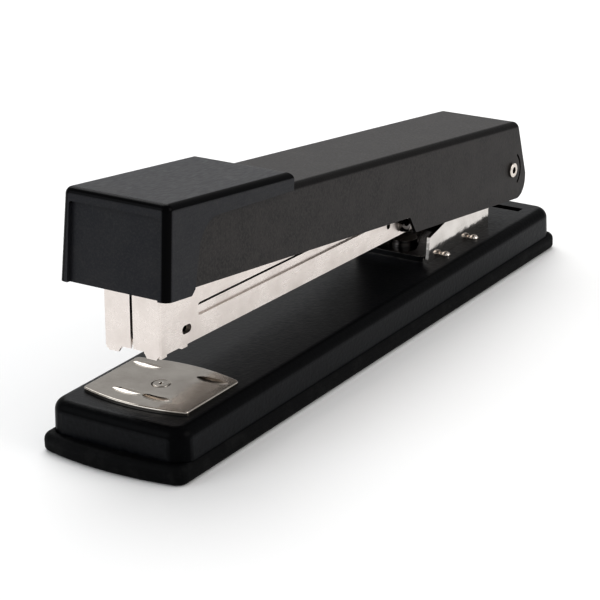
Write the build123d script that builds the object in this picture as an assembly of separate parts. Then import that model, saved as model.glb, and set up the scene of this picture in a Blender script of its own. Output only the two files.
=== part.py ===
from build123d import *
import math
import os

# Full-strip desk stapler, in millimetres. X runs across it, the nose points to -Y and Z is up.
# The origin is on the table, under the middle of the base.
# The magazine and the handle hang on one pivot pin. Each is drawn with the pivot axis as its own
# origin and lying level, as (forward, up) positions, and is then tilted to its rest angle.

# Pivot and rest angles
pivot_back = 83.18
pivot_height = 28.42
magazine_tilt = 1.69
handle_tilt = 7.09

# Base: pressed steel shell standing in a rubber foot
base_half_length = 102.1
foot_half_width = 21.7
foot_bow = 2.6
foot_corner = 3.2
foot_height = 5.0
foot_top_round = 2.0
foot_bottom_round = 1.4
foot_floor = 2.2
foot_ledge_height = 4.4
foot_ledge_width = 1.5
seat_gap = 0.15
shell_middle = 0.65
shell_half_width = 20.7
shell_half_length = 98.45
shell_bow = 0.5
shell_corner = 5.0
shell_top = 13.4
shell_taper = 2.0
shell_shoulder = 3.1
steel = 1.2
rear_slot_half_width = 14.0
rear_slot_backs = (89.0, 92.0)

# Hinge bracket riveted on the base
bracket_sheet = 1.0
bracket_half_width = 12.95
bracket_front = 34.7
bracket_back = 71.2
bracket_ear_radius = 5.5
bracket_floor_top = shell_top + bracket_sheet
tab_thickness = 0.6
tab_half_length = 1.2
tab_rivet_backs = (42.7, 59.7)
tab_rivet_out = 14.35
tab_rivet_shank = 0.8
tab_rivet_head = 1.3

# Lift spring lying on the bracket's floor
spring_thickness = 0.6
spring_half_width = 11.7
spring_back = 69.2
spring_rim_height = 0.2
spring_rim_width = 0.8
tongue_half_width = 4.0
tongue_gap = 0.8
tongue_root = 55.2
spring_rivet_back = 43.2
spring_rivet_shank = 1.6
spring_rivet_head = 3.9
spring_rivet_height = 1.0
washer_radius = 4.3
washer_thickness = 0.6

# Anvil, turned about its post
anvil_back = -77.6
anvil_half_width = 15.9
anvil_half_length = 11.3
anvil_bow = 2.6
anvil_corner = 1.2
anvil_bottom = 13.55
anvil_top = 14.6
groove_offset = 8.0
groove_depth = 0.7
groove_sink = 1.5
groove_half_length = 8.1
inner_groove_out = 4.4
outer_groove_out = 9.9
post_radius = 2.2
post_bore_radius = 2.28
post_hole_chamfer = 0.35
post_head_radius = 3.4
button_radius = 7.5
button_cup_radius = 6.3
button_hole_radius = 8.5

# Pivot pin
pin_radius = 1.75
pin_bore_radius = 1.0
pin_clearance = 0.05
pin_seat = 14.75
pin_flange_radius = 2.2
pin_flange_thickness = 0.55
bush_radius = 3.1

# Magazine sheath and the parts inside it
sheath_half_width = 8.47
sheath_wall = 0.6
sheath_bottom = -6.2
sheath_top = 7.5
nose_front = 171.6
nose_top = 12.3
nose_slit = (-0.5, 0.25)
throat_back = 168.2
tooth_bottom = -7.25
lug_bottom = -6.95
lug_forwards = (161.4, 170.0)
lug_half_length = 1.15
side_slot_forwards = (75.0, 155.7)
side_slot_ups = (-0.3, 3.1)
oblong_hole = (160.6, -2.25)
oblong_hole_size = (3.8, 2.2)
round_hole = (63.2, -1.9)
round_hole_radius = 0.95
channel_half_width = 7.82
channel_wall = 0.8
channel_bottom = -5.55
channel_top = 2.1
channel_front = 168.0
channel_rear = 9.0
rail_half_width = 5.6
rail_wall = 0.7
rail_bottom = -4.6
rail_top = 1.9
rail_front = 167.6
rail_rear = 20.0
rail_slot_half_width = 1.2
rod_radius = 0.9
rod_height = -1.8
front_support = 165.0
rear_support = 21.0
support_thickness = 1.4
pusher_rear = 146.0
pusher_front = 166.0
collar_rear = 148.0
collar_front = 158.0
collar_radius = 2.5
stud_forward = 55.6
stud_up = -3.4
stud_height = 2.4
stud_radius = 2.05
stud_shank = 1.2

# Handle cover, cap and driver. The cover and the cap are narrower at the top than below.
cover_half_width = 15.2
cover_top_half_width = 13.6
cover_fold = 2.0
cover_wall = 0.9
cover_top = 14.1
cover_bottom = -4.45
ear_bottom = -9.3
ear_slit_radius = 5.4
ear_slit_width = 0.8
ear_slit_half_angle = 52
cover_front = 174.0
cap_half_width = 16.3
cap_top_half_width = 15.6
cap_top = 17.85
cap_bottom = -5.7
cap_front = 179.4
cap_back = 125.0
cap_wall = 1.8
cap_front_wall = 2.4
cap_corner = 2.2
cap_top_round = 1.9
cap_room_half_width = 12.8
panel_half_width = 13.5
panel_top = 14.5
panel_depth = 1.2
sliding_gap = 0.05
blade_inner_radius = 169.0
blade_outer_radius = 169.9
blade_half_width = 6.3
blade_bottom = -7.4
blade_foot_thickness = 0.85
holder_half_width = 7.0
holder_top = cover_top - cover_wall - sliding_gap
holder_bottom = holder_top - 1.05
blade_foot_top = holder_bottom - sliding_gap
driver_rivet_forwards = (135.0, 161.0)
driver_rivet_shank = 1.5
driver_rivet_head = 2.6


def block(x, y, z):
    """A box from its low and high value on each axis."""
    middle = [(low + high) / 2 for low, high in (x, y, z)]
    size = [high - low for low, high in (x, y, z)]
    return Pos(*middle) * Box(*size)


def arm_block(x, forward, up):
    """A box on an arm, from how far forward of the pivot and how far above it the box lies."""
    return block(x, (-forward[1], -forward[0]), up)


def upright(x, y, bottom, top, radius):
    """A round bar standing along Z."""
    return Pos(x, y, (bottom + top) / 2) * Cylinder(radius, top - bottom)


def crosswise(x, y, z, radius):
    """A round bar lying along X, from its low and high x."""
    return Pos((x[0] + x[1]) / 2, y, z) * Rot(0, 90, 0) * Cylinder(radius, x[1] - x[0])


def lengthwise(y, z, radius):
    """A round bar lying along Y on the middle plane, from its low and high y."""
    return Pos(0, (y[0] + y[1]) / 2, z) * Rot(90, 0, 0) * Cylinder(radius, y[1] - y[0])


def side_plate(outline, x):
    """A flat face in the YZ plane made solid between its low and high x."""
    return Pos(x[0], 0, 0) * extrude(Plane.YZ * outline, amount=x[1] - x[0])


def arm_outline(points):
    """A closed polygon from (forward, up) points."""
    return make_face(Polyline(*[(-forward, up) for forward, up in points], close=True))


def round_corner(outline, forward, up, radius):
    """Rounds the corner of an outline that lies nearest to a (forward, up) point."""
    corner = outline.vertices().sort_by_distance((-forward, up, 0))[0]
    return fillet(corner, radius)


def tapered_prism(low_half, high_half, low, high, fold):
    """A bar along Y whose width shrinks evenly upwards, with its two upper edges rounded."""
    corners = [(-low_half, low), (low_half, low), (high_half, high), (-high_half, high)]
    section = make_face(Polyline(*corners, close=True))
    if fold > 0:
        section = fillet(section.vertices().group_by(Axis.Y)[-1], fold)
    return Pos(0, 20, 0) * extrude(Plane.XZ * section, amount=220)


def mirrored_pair(part):
    """A part and its mirror image on the other side of the stapler, as two separate solids."""
    return Compound(children=[part, mirror(part, Plane.YZ)])


def bowed_plan(half_width, half_length, bow, corner):
    """A rectangle with rounded corners whose front and back edges bulge outwards."""
    left, right = (-half_width, half_width)
    back, front = (half_length, -half_length)
    edges = [
        Line((left, back), (left, front)),
        ThreePointArc((left, front), (0, front - bow), (right, front)),
        Line((right, front), (right, back)),
        ThreePointArc((right, back), (0, back + bow), (left, back)),
    ]
    plan = make_face(edges)
    return fillet(plan.vertices(), corner)


def on_magazine(part):
    """Places a part drawn level about the pivot at the magazine's rest angle."""
    return Pos(0, pivot_back, pivot_height) * Rot(-magazine_tilt, 0, 0) * part


def on_handle(part):
    """Places a part drawn level about the pivot at the handle's rest angle."""
    return Pos(0, pivot_back, pivot_height) * Rot(-handle_tilt, 0, 0) * part


def tangent_point(from_back, from_up, radius, side):
    """Where a line from a point (relative to the pivot) touches a circle round the pivot."""
    distance = math.hypot(from_back, from_up)
    angle = math.atan2(from_up, from_back) + side * math.acos(radius / distance)
    return (radius * math.cos(angle), radius * math.sin(angle))


# Base

def rubber_base():
    """Rubber foot: a shallow tray with a rounded bead, pierced under the anvil's button."""
    plan = bowed_plan(foot_half_width, base_half_length - foot_bow, foot_bow, foot_corner)
    foot = extrude(plan, amount=foot_height)
    outer_top = foot.edges().group_by(Axis.Z)[-1]
    foot = fillet(outer_top, foot_top_round)
    outer_bottom = foot.edges().group_by(Axis.Z)[0]
    foot = fillet(outer_bottom, foot_bottom_round)
    foot -= Pos(0, 0, foot_floor) * extrude(shell_plan(foot_ledge_width), amount=foot_height)
    foot -= Pos(0, 0, foot_ledge_height) * extrude(shell_plan(-seat_gap), amount=foot_height)
    return foot - upright(0, anvil_back, -1, foot_floor + 1, button_hole_radius)


def shell_plan(inset):
    """Outline of the shell's foot, drawn smaller by an inset."""
    half_width = shell_half_width - inset
    half_length = shell_half_length - inset
    return Pos(0, shell_middle) * bowed_plan(half_width, half_length, shell_bow, shell_corner - inset)


def shell_body(inset):
    """The shell's outer form, drawn smaller by an inset for its hollow."""
    height = shell_top - foot_ledge_height - inset
    body = extrude(shell_plan(inset), amount=height, taper=shell_taper)
    body = fillet(body.edges().group_by(Axis.Z)[-1], shell_shoulder - inset)
    return Pos(0, 0, foot_ledge_height) * body


def through_top(x, y, radius):
    """Cutter for a round hole through the top of the shell and the bracket's floor."""
    return upright(x, y, shell_top - 3, bracket_floor_top + 1, radius)


def base_shell():
    """Pressed steel base with holes for the post and the rivets and a slot across its rear."""
    shell = shell_body(0) - shell_body(steel)
    shell -= through_top(0, anvil_back, post_bore_radius)
    slot = (-rear_slot_half_width, rear_slot_half_width)
    shell -= block(slot, rear_slot_backs, (shell_top - 3, shell_top + 1))
    shell -= through_top(0, spring_rivet_back, spring_rivet_shank)
    for back in tab_rivet_backs:
        for out in (-tab_rivet_out, tab_rivet_out):
            shell -= through_top(out, back, tab_rivet_shank)
    return shell


def bracket_wall():
    """Outline of one bracket wall, in (back, up) positions from the pivot."""
    floor = shell_top - pivot_height
    front = bracket_front - pivot_back
    back = bracket_back - pivot_back
    neck_low = (back, 19.4 - pivot_height)
    neck_high = (-26.0, -2.6)
    low_touch = tangent_point(*neck_low, bracket_ear_radius, 1)
    high_touch = tangent_point(*neck_high, bracket_ear_radius, -1)
    nose = (front + 1.1, -7.6)
    points = [(front, floor), (back, floor), neck_low, low_touch, high_touch, neck_high, nose]
    wall = make_face(Polyline(*points, close=True)) + Circle(bracket_ear_radius)
    return wall - Circle(pin_radius + 0.01)


def hinge_bracket():
    """U-shaped bracket whose ears carry the pin, with four small tabs riveted to the shell."""
    low, high = (bracket_half_width - bracket_sheet, bracket_half_width)
    bracket = block((-high, high), (bracket_front, bracket_back), (shell_top, bracket_floor_top))
    for x in ((low, high), (-high, -low)):
        bracket += Pos(0, pivot_back, pivot_height) * side_plate(bracket_wall(), x)
    tab = (shell_top, shell_top + tab_thickness)
    for back in tab_rivet_backs:
        bracket += block((-tab_rivet_out, tab_rivet_out), (back - tab_half_length, back + tab_half_length), tab)
        for out in (-tab_rivet_out, tab_rivet_out):
            bracket += upright(out, back, *tab, tab_half_length)
            bracket -= through_top(out, back, tab_rivet_shank)
    return bracket - through_top(0, spring_rivet_back, spring_rivet_shank)


def domed_rivet(x, y, bottom, top, shank, head, dome):
    """A rivet standing along Z: a shank, a flattened tail below and a domed head above."""
    ball_radius = (head**2 + dome**2) / (2 * dome)
    cap = Pos(x, y, top + dome - ball_radius) * Sphere(ball_radius)
    cap &= upright(x, y, top, top + dome + 1, head)
    tail = upright(x, y, bottom - 0.7, bottom, head)
    return upright(x, y, bottom, top, shank) + cap + tail


def bracket_rivets():
    """The four rivets through the bracket's tabs."""
    bottom, top = (shell_top - steel, shell_top + tab_thickness)
    rivets = [
        domed_rivet(out, back, bottom, top, tab_rivet_shank, tab_rivet_head, 0.85)
        for back in tab_rivet_backs
        for out in (-tab_rivet_out, tab_rivet_out)
    ]
    return Compound(children=rivets)


def lift_spring():
    """Dark spring plate with a low rim and a front lip, its tongue bent up under the magazine."""
    half = spring_half_width
    low, high = (bracket_floor_top, bracket_floor_top + spring_thickness)
    front, back = (bracket_front - spring_thickness, spring_back)
    plate = block((-half, half), (front, back), (shell_top + 0.1, high + spring_rim_height))
    plate = fillet(plate.edges().filter_by(Axis.Z).group_by(Axis.Y)[0], 1.6)
    plate -= block((-half - 1, half + 1), (bracket_front, back + 1), (shell_top, low))
    tray = half - spring_rim_width
    plate -= block((-tray, tray), (front + spring_rim_width, back + 1), (high, high + 3))
    gap = tongue_half_width + tongue_gap
    plate -= block((-gap, gap), (tongue_root, back + 1), (low - 1, high + 1))
    tongue = [
        (tongue_root - 1.0, low),
        (tongue_root + 1.0, low),
        (tongue_root + 18.0, low + 6.2),
        (tongue_root + 18.0, low + 6.9),
        (tongue_root + 16.8, low + 6.6),
        (tongue_root + 0.6, high),
        (tongue_root - 1.0, high),
    ]
    tongue_face = make_face(Polyline(*tongue, close=True))
    plate += side_plate(tongue_face, (-tongue_half_width, tongue_half_width))
    return plate - through_top(0, spring_rivet_back, spring_rivet_shank)


def spring_washer():
    """Washer under the head of the lift spring's rivet."""
    low = bracket_floor_top + spring_thickness
    washer = upright(0, spring_rivet_back, low, low + washer_thickness, washer_radius)
    return washer - upright(0, spring_rivet_back, low - 1, low + 2, spring_rivet_shank)


def spring_rivet():
    """Flat-headed rivet through washer, lift spring, bracket and shell."""
    top = bracket_floor_top + spring_thickness + washer_thickness
    bottom = shell_top - steel
    rivet = upright(0, spring_rivet_back, bottom, top, spring_rivet_shank)
    rivet += upright(0, spring_rivet_back, top, top + spring_rivet_height, spring_rivet_head)
    return rivet + upright(0, spring_rivet_back, bottom - 0.7, bottom, spring_rivet_shank + 1.2)


def pivot_pin():
    """Tubular pin with a flange rolled over at each end."""
    end = pin_seat + pin_flange_thickness
    pin = crosswise((-pin_seat, pin_seat), 0, 0, pin_radius)
    flange = fillet(crosswise((pin_seat, end), 0, 0, pin_flange_radius).edges(), 0.2)
    pin += flange + mirror(flange, Plane.YZ)
    pin -= crosswise((-end - 1, end + 1), 0, 0, pin_bore_radius)
    return Pos(0, pivot_back, pivot_height) * pin


def pivot_bushes():
    """Spacer tubes on the pin between the magazine and the bracket's ears."""
    inner = sheath_half_width + sliding_gap
    outer = bracket_half_width - bracket_sheet
    bush = crosswise((inner, outer), 0, 0, bush_radius) - crosswise((inner - 1, outer + 1), 0, 0, pin_radius)
    return Pos(0, pivot_back, pivot_height) * mirrored_pair(bush)


# Anvil

def groove(x, y):
    """Cutter for a clinching groove: a lemon shape lying along X, sunk into the plate's top."""
    end = groove_half_length
    arc = ThreePointArc((-end, 0), (0, -groove_sink - groove_depth), (end, 0))
    lens = make_face([arc, Line((end, 0), (-end, 0))])
    return Pos(x, y, anvil_top + groove_sink) * revolve(lens, Axis.X)


def anvil_plate():
    """Turning plate: one pair of grooves folds staple legs in, the other folds them out."""
    plan = bowed_plan(anvil_half_width, anvil_half_length, anvil_bow, anvil_corner)
    plate = Pos(0, 0, anvil_bottom) * extrude(plan, amount=anvil_top - anvil_bottom)
    plate = fillet(plate.edges().group_by(Axis.Z)[-1], 0.4)
    plate = Pos(0, anvil_back, 0) * plate
    for sign in (-1, 1):
        plate -= groove(sign * inner_groove_out, anvil_back - groove_offset)
        plate -= groove(sign * outer_groove_out, anvil_back + groove_offset)
    hole_radius = post_radius + 0.04
    plate -= upright(0, anvil_back, anvil_bottom - 1, anvil_top + 1, hole_radius)
    rim = Cone(hole_radius, hole_radius + post_hole_chamfer, post_hole_chamfer)
    return plate - Pos(0, anvil_back, anvil_top - post_hole_chamfer / 2) * rim


def anvil_post():
    """Post through plate and shell, dimpled on top, with a lower head that carries the button."""
    top = anvil_top + 0.12
    post = upright(0, anvil_back, 3.6, top, post_radius)
    post = fillet(post.edges().group_by(Axis.Z)[-1], 0.25)
    post += upright(0, anvil_back, 2.6, 3.6, post_head_radius)
    return post - Pos(0, anvil_back, top + 0.4) * Sphere(0.8)


def anvil_button():
    """Cup-shaped button under the base that is pushed up to lift the anvil."""
    button = upright(0, anvil_back, 1.6, 5.2, button_radius)
    button = fillet(button.edges().group_by(Axis.Z)[0], 0.6)
    button -= upright(0, anvil_back, 1.0, 3.7, button_cup_radius)
    return button - upright(0, anvil_back, 3.0, 6.0, post_bore_radius)


def coil(radius, wire, length, turns):
    """A plain coil of round wire about Z, starting at z = 0."""
    path = Helix(pitch=length / turns, height=length, radius=radius)
    section = Plane(origin=path @ 0, z_dir=path % 0) * Circle(wire / 2)
    return sweep(section, path=path, is_frenet=True)


def anvil_spring():
    """Coil between the button and the underside of the shell."""
    wire = 0.6
    bottom, top = (5.2 + wire / 2 + 0.05, shell_top - steel - wire / 2 - 0.05)
    return Pos(0, anvil_back, bottom) * coil(4.2, wire, top - bottom, 4)


# Magazine

def tooling_holes(half_width):
    """Cutter for the holes through both walls of a channel: one oblong, one round."""
    reach = (-half_width - 1, half_width + 1)
    oblong = Pos(-oblong_hole[0], oblong_hole[1]) * SlotOverall(*oblong_hole_size)
    round_cutter = crosswise(reach, -round_hole[0], round_hole[1], round_hole_radius)
    return side_plate(oblong, reach) + round_cutter


def sheath_outline():
    """Side outline of the sheath: low walls, a tall nose and rounded rear ears."""
    outline = arm_outline(
        [
            (-6.5, sheath_bottom),
            (nose_front, sheath_bottom),
            (nose_front, nose_top),
            (153.0, nose_top),
            (147.0, sheath_top),
            (-6.5, sheath_top),
        ]
    )
    outline = round_corner(outline, -6.5, sheath_bottom, 5.0)
    outline = round_corner(outline, -6.5, sheath_top, 5.0)
    return round_corner(outline, nose_front, nose_top, 1.5)


def magazine_sheath():
    """Outer channel with the front folded shut, a central slit and teeth beside the throat."""
    half = sheath_half_width
    inner = half - sheath_wall
    flap_back = nose_front - sheath_wall
    sheath = side_plate(sheath_outline(), (-half, half))
    front_edges = sheath.edges().filter_by(Axis.Z).group_by(Axis.Y)[0]
    sheath = fillet(front_edges, 0.6)
    sheath -= arm_block((-inner, inner), (-20, flap_back), (sheath_bottom + sheath_wall, nose_top + 5))
    sheath -= arm_block((-inner, inner), (throat_back, flap_back), (sheath_bottom - 1, 0))
    sheath -= arm_block((-3.5, 3.5), (throat_back, nose_front + 1), (sheath_bottom - 1, -5.7))
    sheath -= arm_block(nose_slit, (flap_back - 1, nose_front + 1), (sheath_bottom - 1, nose_top + 1))
    for sign in (-1, 1):
        sheath += nose_tooth(sign)
        for forward in lug_forwards:
            sheath += locating_lug(sign, forward)
    slot = arm_block((-half - 1, half + 1), side_slot_forwards, side_slot_ups)
    slot = fillet(slot.edges().filter_by(Axis.X), 0.9)
    sheath -= slot
    sheath -= tooling_holes(half)
    sheath -= crosswise((-half - 1, half + 1), -stud_forward, stud_up, stud_shank)
    return sheath - crosswise((-half - 1, half + 1), 0, 0, pin_radius + pin_clearance)


def nose_tooth(sign):
    """Tooth at a lower corner of the nose, with sloping flanks."""
    root = sheath_bottom + 0.3
    tooth = Polyline((3.5, root), (4.3, tooth_bottom), (7.2, tooth_bottom), (8.1, root), close=True)
    face = Plane.XZ * make_face(tooth)
    solid = Pos(0, -nose_front + sheath_wall, 0) * extrude(face, amount=sheath_wall)
    return solid if sign > 0 else mirror(solid, Plane.YZ)


def locating_lug(sign, forward):
    """Small lug pressed down at the edge of the sheath's floor."""
    x = (6.8, 8.3) if sign > 0 else (-8.3, -6.8)
    span = (forward - lug_half_length, forward + lug_half_length)
    return arm_block(x, span, (lug_bottom, sheath_bottom + 0.2))


def staple_channel():
    """Inner channel that the staples slide in."""
    half = channel_half_width
    inner = half - channel_wall
    channel = arm_block((-half, half), (channel_rear, channel_front), (channel_bottom, channel_top))
    channel -= arm_block((-inner, inner), (0, 180), (channel_bottom + channel_wall, channel_top + 1))
    channel -= tooling_holes(half)
    return channel - crosswise((-half - 1, half + 1), -stud_forward, stud_up, stud_shank)


def core_rail():
    """Rail that the staples straddle, slotted along its top for the pusher's web."""
    half = rail_half_width
    inner = half - rail_wall
    rail = arm_block((-half, half), (rail_rear, rail_front), (rail_bottom, rail_top))
    rail = fillet(rail.edges().filter_by(Axis.Y).group_by(Axis.Z)[-1], 0.6)
    rail -= arm_block((-inner, inner), (0, 180), (rail_bottom - 1, rail_top - rail_wall))
    slot = rail_slot_half_width
    return rail - arm_block((-slot, slot), (30.0, 162.5), (0, rail_top + 1))


def rod_supports():
    """Two plates inside the rail that hold the ends of the guide rod."""
    half = rail_half_width - rail_wall
    plates = []
    for rear in (rear_support, front_support):
        plate = arm_block((-half, half), (rear, rear + support_thickness), (rail_bottom, 1.15))
        plates.append(plate - lengthwise((-rear - 3, -rear + 3), rod_height, rod_radius))
    return Compound(children=plates)


def guide_rod():
    """Rod that carries the pusher and its spring."""
    return lengthwise((-front_support - 1.9, -rear_support + 0.8), rod_height, rod_radius)


def pusher():
    """Saddle over the rail, joined through the slot to a collar on the guide rod."""
    rear, front = (pusher_rear, pusher_front)
    saddle = arm_block((-6.4, 6.4), (rear, front), (-4.2, 3.1))
    saddle = fillet(saddle.edges().filter_by(Axis.Y).group_by(Axis.Z)[-1], 0.8)
    saddle -= arm_block((-5.75, 5.75), (rear - 1, front + 1), (-5.0, 2.05))
    web = arm_block((-1.0, 1.0), (collar_rear, collar_front), (rod_height, 2.5))
    collar = lengthwise((-collar_front, -collar_rear), rod_height, collar_radius)
    body = saddle + web + collar
    return body - lengthwise((-collar_front - 1, -collar_rear + 1), rod_height, rod_radius + 0.06)


def pusher_spring():
    """Envelope of the long coil on the guide rod, as a tube."""
    y = (-collar_rear + 0.1, -rear_support - support_thickness - 0.1)
    return lengthwise(y, rod_height, 2.1) - lengthwise((y[0] - 1, y[1] + 1), rod_height, 1.4)


def side_studs():
    """Domed studs through the walls of sheath and channel, one on each side."""
    root = sheath_half_width
    head = crosswise((root, root + stud_height), 0, 0, stud_radius)
    head = fillet(head.edges().group_by(Axis.X)[-1], 1.7)
    stud = head + crosswise((channel_half_width - channel_wall + 0.05, root), 0, 0, stud_shank)
    return mirrored_pair(Pos(0, -stud_forward, stud_up) * stud)


def return_spring():
    """Torsion spring round the pin: one leg lies in the magazine, one points up at the cover."""
    wire, radius, half = (1.2, 3.3, 3.4)
    swept = 4 * 360 + 150
    turns = swept / 360
    body = coil(radius, wire, 2 * half, turns)
    # The coil starts on local +X, which is turned here to point straight down.
    body = Pos(-half, 0, 0) * Rot(-90, 0, 0) * Rot(0, 90, 0) * body
    low_leg = lengthwise((-16.0, 0), -radius, wire / 2)
    low_leg = Pos(-half, 0, 0) * low_leg
    rise = math.radians(30)
    start = (radius * math.sin(rise), radius * math.cos(rise))
    reach = 17.9
    end = (start[0] - reach * math.cos(rise), start[1] + reach * math.sin(rise))
    leg_axis = Line((half, *start), (half, *end))
    section = Plane(origin=leg_axis @ 0, z_dir=leg_axis % 0) * Circle(wire / 2)
    high_leg = sweep(section, path=leg_axis)
    elbows = Pos(-half, 0, -radius) * Sphere(wire / 2) + Pos(half, *start) * Sphere(wire / 2)
    return body + low_leg + high_leg + elbows


# Handle

def cover_side():
    """Side outline of the cover, with deep ears at the pivot and a sloping rear edge."""
    outline = arm_outline(
        [
            (cover_front, cover_bottom),
            (62.0, cover_bottom),
            (58.6, ear_bottom),
            (-8.6, ear_bottom),
            (-8.9, -2.0),
            (-3.6, cover_top),
            (cover_front, cover_top),
        ]
    )
    outline = round_corner(outline, -8.6, ear_bottom, 6.3)
    outline = round_corner(outline, -3.6, cover_top, 0.8)
    outline = round_corner(outline, 58.6, ear_bottom, 1.5)
    return round_corner(outline, 62.0, cover_bottom, 1.0)


def cover_form(inset):
    """The folded cover as a solid bar, drawn smaller by an inset for its hollow."""
    low_half = cover_half_width - inset
    high_half = cover_top_half_width - inset
    return tapered_prism(low_half, high_half, ear_bottom, cover_top - inset, cover_fold - inset)


def ear_slit():
    """Cutter for the narrow slit in each ear, concentric with the pin and behind it."""
    half_width = ear_slit_width / 2
    ring = Circle(ear_slit_radius + half_width) - Circle(ear_slit_radius - half_width)
    reach = 12.0
    rise = reach * math.tan(math.radians(ear_slit_half_angle))
    wedge = make_face(Polyline((0, 0), (reach, -rise), (reach, rise), close=True))
    return side_plate(ring & wedge, (-cover_half_width - 1, cover_half_width + 1))


def handle_cover():
    """Folded steel cover, open below and behind, with a short lip at the rear of its top."""
    half = cover_half_width
    cover = side_plate(cover_side(), (-half, half)) & cover_form(0)
    under_top = cover_top - cover_wall
    hollow = arm_outline(
        [(200, -20), (-20, -20), (-20, 8.6), (-4.1, 8.6), (-2.6, under_top), (200, under_top)]
    )
    below = block((-half, half), (-200, 20), (ear_bottom - 1, ear_bottom + 0.1))
    cover -= side_plate(hollow, (-half, half)) & (cover_form(cover_wall) + below)
    cover -= ear_slit()
    for forward in driver_rivet_forwards:
        cover -= upright(0, -forward, under_top - 1, cover_top + 1, driver_rivet_shank)
    return cover - crosswise((-half - 1, half + 1), 0, 0, pin_radius + pin_clearance)


def cap_side():
    """Side outline of the cap: a top plate over the cover and a leg down its front."""
    points = [
        (cap_back, cap_top),
        (cap_front, cap_top),
        (cap_front, cap_bottom),
        (169.2, cap_bottom),
        (167.8, -4.2),
        (166.3, 5.5),
    ]
    front = Polyline(*[(-forward, up) for forward, up in points])
    rise = ThreePointArc((-166.3, 5.5), (-164.1, 9.9), (-159.7, 12.4))
    rear = Polyline((-159.7, 12.4), (-cap_back, 13.2), (-cap_back, cap_top))
    return make_face([*front.edges(), rise, *rear.edges()])


def head_cap():
    """Moulded cap with rounded edges, a recessed front panel and a hollow over the rivets."""
    half = cap_half_width
    cap = side_plate(cap_side(), (-half, half))
    cap &= tapered_prism(half, cap_top_half_width, cap_bottom, cap_top, 0)
    front_face = cap.faces().sort_by(Axis.Y)[0]
    corners = [edge for edge in front_face.edges() if abs(edge.center().X) > half / 2]
    cap = fillet(corners, cap_corner)
    cap = fillet(cap.edges().group_by(Axis.Z)[-1], cap_top_round)
    skirt = cover_form(-sliding_gap)
    cap -= skirt & arm_block((-20, 20), (100, cover_front + 0.2), (ear_bottom, cover_top + 1))
    room = (-cap_room_half_width, cap_room_half_width)
    inner_front = cap_front - cap_front_wall
    cap -= arm_block(room, (cap_back + 2, inner_front), (cover_top - 1, cap_top - cap_wall))
    cap -= arm_block(room, (cover_front - 1, inner_front), (cap_bottom - 1, cover_top))
    panel = arm_block(
        (-panel_half_width, panel_half_width),
        (cap_front - panel_depth, cap_front + 1),
        (cap_bottom - 1, panel_top),
    )
    panel = fillet(panel.edges().filter_by(Axis.Y).group_by(Axis.Z)[-1], 0.8)
    return cap - panel


def driver_blade():
    """Blade bent to the arc that it travels, with a foot under the holder."""
    half = blade_half_width
    ring = Circle(blade_outer_radius) - Circle(blade_inner_radius)
    height = blade_foot_top - blade_bottom
    window = Pos(-blade_outer_radius, blade_bottom + height / 2) * Rectangle(8, height)
    blade = side_plate(ring & window, (-half, half))
    foot_bottom = blade_foot_top - blade_foot_thickness
    foot = arm_block((-half, half), (156.0, blade_inner_radius + 0.2), (foot_bottom, blade_foot_top))
    foot -= upright(0, -driver_rivet_forwards[1], foot_bottom - 1, holder_top, driver_rivet_shank)
    return blade + foot


def driver_holder():
    """Plate under the top of the cover that carries the blade."""
    half = holder_half_width
    holder = arm_block((-half, half), (126.0, blade_inner_radius), (holder_bottom, holder_top))
    for forward in driver_rivet_forwards:
        holder -= upright(0, -forward, holder_bottom - 1, holder_top + 1, driver_rivet_shank)
    return holder


def driver_rivets():
    """Two rivets that hold the holder, and the blade's foot, to the cover."""
    grips = (blade_foot_top, blade_foot_top - blade_foot_thickness - sliding_gap)
    rivets = [
        domed_rivet(0, -forward, grip, cover_top, driver_rivet_shank, driver_rivet_head, 1.3)
        for forward, grip in zip(driver_rivet_forwards, grips)
    ]
    return Compound(children=rivets)


base_parts = (
    rubber_base,
    base_shell,
    hinge_bracket,
    bracket_rivets,
    lift_spring,
    spring_washer,
    spring_rivet,
    pivot_pin,
    pivot_bushes,
    anvil_plate,
    anvil_post,
    anvil_button,
    anvil_spring,
)
magazine_parts = (
    magazine_sheath,
    staple_channel,
    core_rail,
    rod_supports,
    guide_rod,
    pusher,
    pusher_spring,
    side_studs,
    return_spring,
)
handle_parts = (handle_cover, head_cap, driver_blade, driver_holder, driver_rivets)

os.makedirs("parts", exist_ok=True)
for make in base_parts:
    export_step(make(), f"parts/{make.__name__}.step")
for make in magazine_parts:
    export_step(on_magazine(make()), f"parts/{make.__name__}.step")
for make in handle_parts:
    export_step(on_handle(make()), f"parts/{make.__name__}.step")
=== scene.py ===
import math

import bpy
from mathutils import Matrix, Vector

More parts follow.
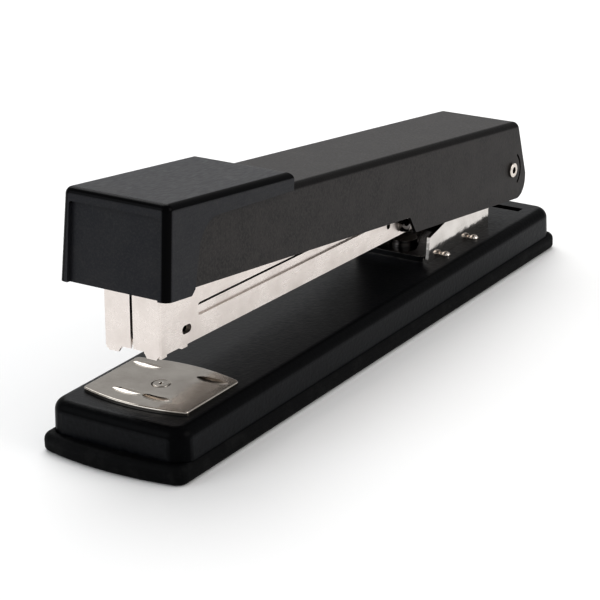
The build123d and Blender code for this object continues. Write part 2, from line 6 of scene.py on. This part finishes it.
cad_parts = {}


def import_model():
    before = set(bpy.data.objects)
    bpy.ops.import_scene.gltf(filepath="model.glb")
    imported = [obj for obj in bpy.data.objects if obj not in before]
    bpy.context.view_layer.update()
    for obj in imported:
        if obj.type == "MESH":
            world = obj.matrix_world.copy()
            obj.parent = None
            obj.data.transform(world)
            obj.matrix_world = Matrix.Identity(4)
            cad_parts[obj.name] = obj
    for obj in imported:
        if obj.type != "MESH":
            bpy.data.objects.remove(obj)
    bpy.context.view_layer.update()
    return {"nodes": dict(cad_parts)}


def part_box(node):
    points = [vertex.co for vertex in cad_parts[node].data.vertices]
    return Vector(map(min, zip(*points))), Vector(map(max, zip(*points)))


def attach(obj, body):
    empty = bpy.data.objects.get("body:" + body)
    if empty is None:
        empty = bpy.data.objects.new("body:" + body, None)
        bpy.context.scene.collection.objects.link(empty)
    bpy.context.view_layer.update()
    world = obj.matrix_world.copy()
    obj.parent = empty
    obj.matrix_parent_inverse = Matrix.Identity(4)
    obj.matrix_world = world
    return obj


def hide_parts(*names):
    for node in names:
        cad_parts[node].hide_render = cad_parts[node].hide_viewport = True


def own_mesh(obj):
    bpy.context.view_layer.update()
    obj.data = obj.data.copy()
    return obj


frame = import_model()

cad_nodes = frame["nodes"]

# Camera: place in metres, angles in degrees, lens and sensor in millimetres
camera_place = (0.3001, -0.4740, 0.2263)
camera_yaw = 33.11
camera_pitch = -20.95
camera_roll = -1.12
camera_lens = 129.4
camera_sensor = 36.0
camera_shift = (0.0017, -0.0012)

# How far the handle's top slopes at rest, in degrees
handle_tilt = 7.09

# Sizes are in metres, so this turns millimetres into them
mm = 0.001

# Cosines of the turn at which a corner starts to count as an edge or a fold, and counts fully
edge_start = 0.99
edge_full = 0.80
fold_start = 0.998
fold_full = 0.96

# Springs: wire, turns, and points drawn along each turn
follower_wire = 0.5 * mm
follower_turns = 36
button_wire = 0.6 * mm
button_turns = 4
steps_per_turn = 24

# Stage: half the floor's width, where the lights aim, and how bright the surroundings are
floor_reach = 6.0
light_target = (0, 0, 0.03)
world_strength = 0.55


# Node helpers

class Surface:
    """A principled material with short calls for the texture nodes that feed it."""

    def __init__(self, name, colour, metallic=0.0, roughness=0.5, **sockets):
        self.material = bpy.data.materials.new(name)
        self.material.use_nodes = True
        self.tree = self.material.node_tree
        self.shader = self.tree.nodes["Principled BSDF"]
        self.set("Base Color", (*colour, 1.0))
        self.set("Metallic", metallic)
        self.set("Roughness", roughness)
        for socket, value in sockets.items():
            self.set(socket.replace("_", " "), value)

    def set(self, socket, value):
        """A constant value on the shader's own socket."""
        self.shader.inputs[socket].default_value = value

    def feed(self, socket, output):
        """A texture's output into one of the shader's sockets."""
        self.tree.links.new(output, self.shader.inputs[socket])

    def node(self, kind, inputs=None, **settings):
        """A node with its settings, and values or links on its inputs."""
        made = self.tree.nodes.new(kind)
        for name, value in settings.items():
            setattr(made, name, value)
        for key, value in (inputs or {}).items():
            if isinstance(value, bpy.types.NodeSocket):
                self.tree.links.new(value, made.inputs[key])
            else:
                made.inputs[key].default_value = value
        return made

    def place(self, stretch=(1.0, 1.0, 1.0)):
        """Positions on the piece in metres, stretched along its axes."""
        where = self.node("ShaderNodeTexCoord").outputs["Object"]
        return self.node("ShaderNodeMapping", {"Vector": where, "Scale": stretch}).outputs["Vector"]

    def noise(self, size, detail=3.0, rough=0.5, stretch=(1.0, 1.0, 1.0), distortion=0.0):
        """Cloudy pattern whose blobs are about the given size in metres."""
        inputs = {
            "Vector": self.place(stretch),
            "Scale": 1.0 / size,
            "Detail": detail,
            "Roughness": rough,
            "Distortion": distortion,
        }
        return self.node("ShaderNodeTexNoise", inputs).outputs["Fac"]

    def cells(self, size, stretch=(1.0, 1.0, 1.0)):
        """Pebbly pattern: distance to the nearest of many scattered points."""
        inputs = {"Vector": self.place(stretch), "Scale": 1.0 / size}
        return self.node("ShaderNodeTexVoronoi", inputs, feature="SMOOTH_F1").outputs["Distance"]

    def spread(self, value, low, high, to_low=0.0, to_high=1.0):
        """Maps a range of a value to another range."""
        inputs = {"Value": value, "From Min": low, "From Max": high, "To Min": to_low, "To Max": to_high}
        return self.node("ShaderNodeMapRange", inputs).outputs["Result"]

    def maths(self, operation, first, second):
        """One arithmetic step between two values."""
        return self.node("ShaderNodeMath", {0: first, 1: second}, operation=operation).outputs[0]

    def blend(self, factor, first, second):
        """Colour between two colours. The mix node has its colours at inputs 6 and 7 and output 2."""
        ends = {6: first, 7: second}
        for key, value in ends.items():
            if isinstance(value, tuple) and len(value) == 3:
                ends[key] = (*value, 1.0)
        return self.node("ShaderNodeMix", {0: factor, **ends}, data_type="RGBA").outputs[2]

    def edges(self, width):
        """1 on sharp edges, fading to 0 within about the given width."""
        rounded = self.node("ShaderNodeBevel", {"Radius": width}, samples=4).outputs["Normal"]
        plain = self.node("ShaderNodeNewGeometry").outputs["Normal"]
        compare = self.node("ShaderNodeVectorMath", {0: rounded, 1: plain}, operation="DOT_PRODUCT")
        return self.spread(compare.outputs["Value"], edge_start, edge_full)

    def folds(self, tilt):
        """1 on rounded folds, 0 where the surface lies square to axes tilted about X, in degrees."""
        facing = self.node("ShaderNodeTexCoord").outputs["Normal"]
        level = self.node("ShaderNodeMapping", {"Vector": facing, "Rotation": (math.radians(tilt), 0, 0)})
        parts = self.node("ShaderNodeSeparateXYZ", {0: level.outputs["Vector"]}).outputs
        x, y, z = (self.maths("ABSOLUTE", part, 0.0) for part in parts)
        most = self.maths("MAXIMUM", self.maths("MAXIMUM", x, y), z)
        return self.spread(most, fold_start, fold_full)

    def relief(self, *layers):
        """Bump from several (height, depth in metres) layers, one on the other."""
        normal = None
        for height, depth in layers:
            inputs = {"Height": height, "Distance": depth, "Strength": 1.0}
            if normal is not None:
                inputs["Normal"] = normal
            normal = self.node("ShaderNodeBump", inputs).outputs["Normal"]
        self.feed("Normal", normal)


# Materials

def painted(name, dark, light, grain, depth, gloss, level, tilt):
    """Stoved black paint: pebbled grain, mottled colour, a painted dark reflection on its folds, paler in
    patches at its sharp edges.

    The grain's size and depth are in metres. Gloss is the mean roughness, level the mirror reflection
    of the flat faces, and tilt the slope of those faces about X in degrees.
    """
    cloud_size = 7 * mm
    edge_width = 0.35 * mm
    # Colour of the painted dark reflection on the rounded folds
    painted_fold_reflection = tuple(0.3 * c for c in dark)
    paler_edge_tint = tuple(2.5 * c for c in light)
    paint = Surface(name, dark)
    clouds = paint.noise(cloud_size, detail=5.0, rough=0.6)
    mottle = paint.noise(grain * 1.6, detail=3.0, rough=0.7)
    pebbles = paint.cells(grain)
    tint = paint.blend(paint.spread(mottle, 0.40, 0.66), dark, light)
    tint = paint.blend(paint.spread(clouds, 0.40, 0.72, 0.0, 0.5), tint, light)
    folded = paint.folds(tilt)
    # Rounded folds darken: a painted dark reflection of the surroundings
    tint = paint.blend(paint.maths("MULTIPLY", folded, 0.8), tint, painted_fold_reflection)
    paint.feed("Specular IOR Level", paint.spread(folded, 0.0, 1.0, level, 0.4 * level))
    # Sharp edges turn paler in cloudy patches
    patches = paint.spread(clouds, 0.45, 0.70, 0.05, 0.45)
    edge_mask = paint.maths("MULTIPLY", paint.edges(edge_width), patches)
    tint = paint.blend(edge_mask, tint, paler_edge_tint)
    paint.feed("Base Color", tint)
    paint.feed("Roughness", paint.spread(mottle, 0.3, 0.7, gloss - 0.06, gloss + 0.08))
    paint.relief((pebbles, depth), (paint.noise(grain * 0.5, detail=4.0), depth * 0.5))
    return paint.material


def base_paint():
    """Satin black enamel of the base."""
    dark = (0.0020, 0.0024, 0.0034)
    light = (0.0060, 0.0068, 0.0085)
    grain = 0.9 * mm
    depth = 0.035 * mm
    return painted("base_paint", dark, light, grain, depth, gloss=0.34, level=0.12, tilt=0.0)


def cover_paint():
    """Fine-textured brown-black paint of the handle."""
    dark = (0.0085, 0.0076, 0.0078)
    light = (0.0330, 0.0295, 0.0280)
    grain = 0.5 * mm
    depth = 0.030 * mm
    return painted("cover_paint", dark, light, grain, depth, gloss=0.46, level=0.22, tilt=handle_tilt)


def cap_plastic():
    """Black moulded plastic: satin panels, polished rounded edges darkened with a painted dark
    reflection, faint flow clouds and scuffs.
    """
    panel = (0.0125, 0.0135, 0.0175)
    cloudy = (0.0200, 0.0205, 0.0230)
    speckle = (0.0420, 0.0400, 0.0390)
    # Near-black colour of the painted dark reflection on the rounded edges
    painted_dark_reflection = (0.0012, 0.0012, 0.0016)
    plastic = Surface("cap_plastic", panel)
    clouds = plastic.noise(11 * mm, detail=5.0, rough=0.6)
    grain = plastic.noise(0.5 * mm, detail=3.0, rough=0.65)
    scuffs = plastic.noise(0.45 * mm, detail=3.0, stretch=(1.0, 0.10, 1.0))
    folded = plastic.folds(handle_tilt)
    tint = plastic.blend(plastic.spread(clouds, 0.3, 0.7), panel, cloudy)
    tint = plastic.blend(plastic.spread(grain, 0.45, 0.75, 0.0, 0.5), tint, speckle)
    # Rounded edges take the painted dark reflection
    tint = plastic.blend(folded, tint, painted_dark_reflection)
    plastic.feed("Base Color", tint)
    plastic.feed("Specular IOR Level", plastic.spread(folded, 0.0, 1.0, 0.17, 0.05))
    shine = plastic.spread(scuffs, 0.3, 0.75, 0.34, 0.50)
    polished = plastic.maths("MULTIPLY", folded, 0.22)
    plastic.feed("Roughness", plastic.maths("SUBTRACT", shine, polished))
    plastic.relief((clouds, 0.03 * mm), (grain, 0.008 * mm))
    return plastic.material


def black_rubber():
    """Matt black rubber with fine grain, a little dust and paler rubbed patches."""
    base = (0.0018, 0.0020, 0.0024)
    dusty = (0.0120, 0.0120, 0.0120)
    pale = (0.0080, 0.0080, 0.0080)
    foot = Surface("black_rubber", base, Specular_IOR_Level=0.08)
    dust = foot.noise(6 * mm, detail=6.0, rough=0.7)
    grain = foot.noise(0.4 * mm, detail=4.0)
    tint = foot.blend(foot.spread(dust, 0.50, 0.80), base, dusty)
    tint = foot.blend(foot.spread(grain, 0.55, 0.75, 0.0, 0.4), tint, pale)
    foot.feed("Base Color", tint)
    foot.feed("Roughness", foot.spread(grain, 0.3, 0.7, 0.48, 0.68))
    swell = foot.noise(3.5 * mm)
    foot.relief((swell, 0.06 * mm), (grain, 0.02 * mm))
    return foot.material


def plated(name, colour, shade, edge_colour, gloss, streak, depth, stretch, waves=0.0):
    """Bare or plated steel: brushed lines, cloudy tarnish, fine pits and sharp edges tinted to another
    colour, which on the dark metals is a painted highlight.

    Gloss is the mean roughness. Streak is the width of the brushed lines and depth their relief;
    stretch draws them out along one axis, and waves is the depth of the sheet's broad unevenness.
    """
    cloud_size = 8 * mm
    pit_size = 0.35 * mm
    edge_width = 0.3 * mm
    pitted = tuple(0.4 * c for c in shade)
    metal = Surface(name, colour, metallic=1.0)
    clouds = metal.noise(cloud_size, detail=5.0, rough=0.6)
    lines = metal.noise(streak, detail=3.0, rough=0.6, stretch=stretch)
    pits = metal.noise(pit_size, detail=2.0, rough=0.5)
    tint = metal.blend(metal.spread(clouds, 0.38, 0.75), colour, shade)
    tint = metal.blend(metal.spread(lines, 0.50, 0.80, 0.0, 0.35), tint, shade)
    tint = metal.blend(metal.spread(pits, 0.66, 0.80, 0.0, 0.5), tint, pitted)
    # Sharp edges take the edge colour; on the dark chrome and dark spring steel it is a painted highlight
    edge_mask = metal.maths("MULTIPLY", metal.edges(edge_width), 0.7)
    tint = metal.blend(edge_mask, tint, edge_colour)
    metal.feed("Base Color", tint)
    smear = metal.spread(clouds, 0.3, 0.7, gloss - 0.04, gloss + 0.06)
    metal.feed("Roughness", metal.maths("ADD", smear, metal.spread(lines, 0.3, 0.7, -0.02, 0.04)))
    swell = metal.noise(4 * mm, detail=2.0)
    metal.relief((swell, waves + 0.002 * mm), (lines, depth))
    return metal.material


# Directions of the brushed lines, and colours for sharp edges; the bright one is a painted highlight on
# the dark metals
along_y = (1.0, 0.05, 1.0)
along_x = (0.05, 1.0, 1.0)
bright_edge = (0.95, 0.90, 0.85)
dull_edge = (0.55, 0.50, 0.46)


def anvil_nickel():
    """Warm grey nickel of the anvil, softly polished."""
    colour = (0.46, 0.43, 0.39)
    shade = (0.33, 0.30, 0.27)
    streak = 0.3 * mm
    depth = 0.002 * mm
    waves = 0.02 * mm
    return plated("anvil_nickel", colour, shade, bright_edge, 0.09, streak, depth, along_x, waves)


def sheath_nickel():
    """Bright, slightly pink nickel of the magazine."""
    colour = (0.80, 0.74, 0.70)
    shade = (0.70, 0.64, 0.60)
    streak = 0.3 * mm
    depth = 0.003 * mm
    waves = 0.01 * mm
    return plated("sheath_nickel", colour, shade, bright_edge, 0.27, streak, depth, along_y, waves)


def bracket_chrome():
    """Mirror-bright chrome of the bracket, slightly wavy."""
    colour = (0.70, 0.67, 0.64)
    shade = (0.56, 0.53, 0.50)
    streak = 0.5 * mm
    depth = 0.003 * mm
    waves = 0.06 * mm
    return plated("bracket_chrome", colour, shade, dull_edge, 0.08, streak, depth, along_y, waves)


def bright_rivet():
    """Bright rivets and the rolled ends of the pivot pin."""
    colour = (0.74, 0.68, 0.62)
    shade = (0.50, 0.45, 0.41)
    streak = 0.4 * mm
    depth = 0.002 * mm
    return plated("bright_rivet", colour, shade, bright_edge, 0.16, streak, depth, along_x)


def dark_chrome():
    """Black nickel of the studs and the spring's rivet, with a painted highlight at its rim."""
    colour = (0.13, 0.12, 0.115)
    shade = (0.06, 0.055, 0.05)
    streak = 0.4 * mm
    depth = 0.003 * mm
    return plated("dark_chrome", colour, shade, bright_edge, 0.12, streak, depth, along_y)


def dark_spring_steel():
    """Blued spring steel, glossy and nearly black, with a painted highlight at its rims."""
    colour = (0.050, 0.050, 0.054)
    shade = (0.022, 0.022, 0.022)
    streak = 0.4 * mm
    depth = 0.004 * mm
    return plated("dark_spring_steel", colour, shade, bright_edge, 0.16, streak, depth, along_y)


def plain_steel():
    """Oiled drawn steel of the inner pieces."""
    colour = (0.34, 0.32, 0.30)
    shade = (0.22, 0.20, 0.18)
    streak = 0.3 * mm
    depth = 0.005 * mm
    return plated("plain_steel", colour, shade, dull_edge, 0.32, streak, depth, along_y)


def spring_steel():
    """Music wire of the springs."""
    colour = (0.45, 0.44, 0.43)
    shade = (0.28, 0.27, 0.26)
    streak = 0.4 * mm
    depth = 0.004 * mm
    return plated("spring_steel", colour, shade, bright_edge, 0.25, streak, depth, along_y)


makers = (
    base_paint,
    cover_paint,
    cap_plastic,
    black_rubber,
    anvil_nickel,
    sheath_nickel,
    bracket_chrome,
    bright_rivet,
    dark_chrome,
    dark_spring_steel,
    plain_steel,
    spring_steel,
)
paints = {make.__name__: make() for make in makers}

for piece in cad_nodes.values():
    slot = piece.data.materials[0].name
    piece.data.materials[0] = paints[slot]


# Coil springs, which stand for the plain envelopes in the CAD

def coil(name, start, end, radius, wire, turns, body):
    """A coil of round wire wound about the line from start to end."""
    path = bpy.data.curves.new(name, "CURVE")
    path.dimensions = "3D"
    path.bevel_depth = wire / 2
    path.bevel_resolution = 2
    path.use_fill_caps = True
    steps = turns * steps_per_turn
    points = path.splines.new("POLY").points
    points.add(steps)
    axis = end - start
    turned = axis.to_track_quat("Z", "Y")
    for i, point in enumerate(points):
        angle = 2 * math.pi * turns * i / steps
        local = Vector((radius * math.cos(angle), radius * math.sin(angle), axis.length * i / steps))
        point.co = (*(start + turned @ local), 1.0)
    drawn = bpy.data.objects.new(name, path)
    mesh = bpy.data.meshes.new_from_object(drawn)
    bpy.data.objects.remove(drawn)
    for polygon in mesh.polygons:
        polygon.use_smooth = True
    mesh.materials.append(paints["spring_steel"])
    piece = bpy.data.objects.new(name, mesh)
    bpy.context.scene.collection.objects.link(piece)
    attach(piece, body)
    return piece


def follower_coil():
    """The long spring on the guide rod."""
    low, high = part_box("pusher_spring")
    wire = follower_wire
    outer = (high[0] - low[0]) / 2
    front = Vector((0, low[1] + wire, high[2] - outer))
    back = Vector((0, high[1] - wire, low[2] + outer))
    piece = coil("follower_coil", front, back, outer - wire / 2, wire, follower_turns, "magazine")
    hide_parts("pusher_spring")
    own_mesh(piece)


def button_coil():
    """The short spring round the anvil's post."""
    low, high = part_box("anvil_spring")
    wire = button_wire
    outer = (high[0] - low[0]) / 2
    middle = (low[1] + high[1]) / 2
    bottom = Vector((0, middle, low[2] + wire / 2))
    top = Vector((0, middle, high[2] - wire / 2))
    piece = coil("button_coil", bottom, top, outer - wire / 2, wire, button_turns, "root")
    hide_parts("anvil_spring")
    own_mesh(piece)


follower_coil()
button_coil()


# Stage: floor, lights and camera

def floor():
    """Wide pale floor."""
    mesh = bpy.data.meshes.new("floor")
    reach = floor_reach
    corners = [(-reach, -reach, 0), (reach, -reach, 0), (reach, reach, 0), (-reach, reach, 0)]
    mesh.from_pydata(corners, [], [(0, 1, 2, 3)])
    piece = bpy.data.objects.new("floor", mesh)
    bpy.context.scene.collection.objects.link(piece)
    surface = Surface("floor_paper", (0.86, 0.86, 0.86), roughness=0.8, Specular_IOR_Level=0.2)
    grain = surface.noise(1.5 * mm, detail=4.0)
    surface.feed("Roughness", surface.spread(grain, 0.3, 0.7, 0.75, 0.85))
    mesh.materials.append(surface.material)


def softbox(name, place, size, power, colour=(1.0, 1.0, 1.0)):
    """A square area light of the given side and watts, turned towards the stapler."""
    light = bpy.data.lights.new(name, "AREA")
    light.shape = "SQUARE"
    light.size = size
    light.energy = power
    light.color = colour
    lamp = bpy.data.objects.new(name, light)
    lamp.location = place
    direction = Vector(light_target) - Vector(place)
    lamp.rotation_mode = "QUATERNION"
    lamp.rotation_quaternion = direction.to_track_quat("-Z", "Y")
    bpy.context.scene.collection.objects.link(lamp)


def world():
    """Even pale surroundings."""
    made = bpy.data.worlds.new("studio")
    made.use_nodes = True
    background = made.node_tree.nodes["Background"]
    background.inputs["Color"].default_value = (1.0, 1.0, 1.0, 1.0)
    background.inputs["Strength"].default_value = world_strength
    bpy.context.scene.world = made


def camera():
    """Long lens, seen from above the nose's right."""
    data = bpy.data.cameras.new("camera")
    data.lens = camera_lens
    data.sensor_width = camera_sensor
    data.shift_x, data.shift_y = camera_shift
    data.clip_start = 0.01
    eye = bpy.data.objects.new("camera", data)
    yaw = Matrix.Rotation(math.radians(camera_yaw), 4, "Z")
    pitch = Matrix.Rotation(math.radians(90 + camera_pitch), 4, "X")
    roll = Matrix.Rotation(math.radians(camera_roll), 4, "Z")
    eye.matrix_world = Matrix.Translation(camera_place) @ yaw @ pitch @ roll
    bpy.context.scene.collection.objects.link(eye)
    bpy.context.scene.camera = eye


floor()
world()
camera()
softbox("key", (-0.5, 0.5, 1.1), 1.0, 9.0)
softbox("fill", (-0.6, -1.0, 0.6), 0.8, 3.0, colour=(0.92, 0.96, 1.0))
softbox("side", (1.2, 0.3, 0.7), 0.8, 5.0, colour=(1.0, 0.97, 0.94))
view = bpy.context.scene.view_settings
view.view_transform = "Standard"
view.look = "Medium High Contrast"
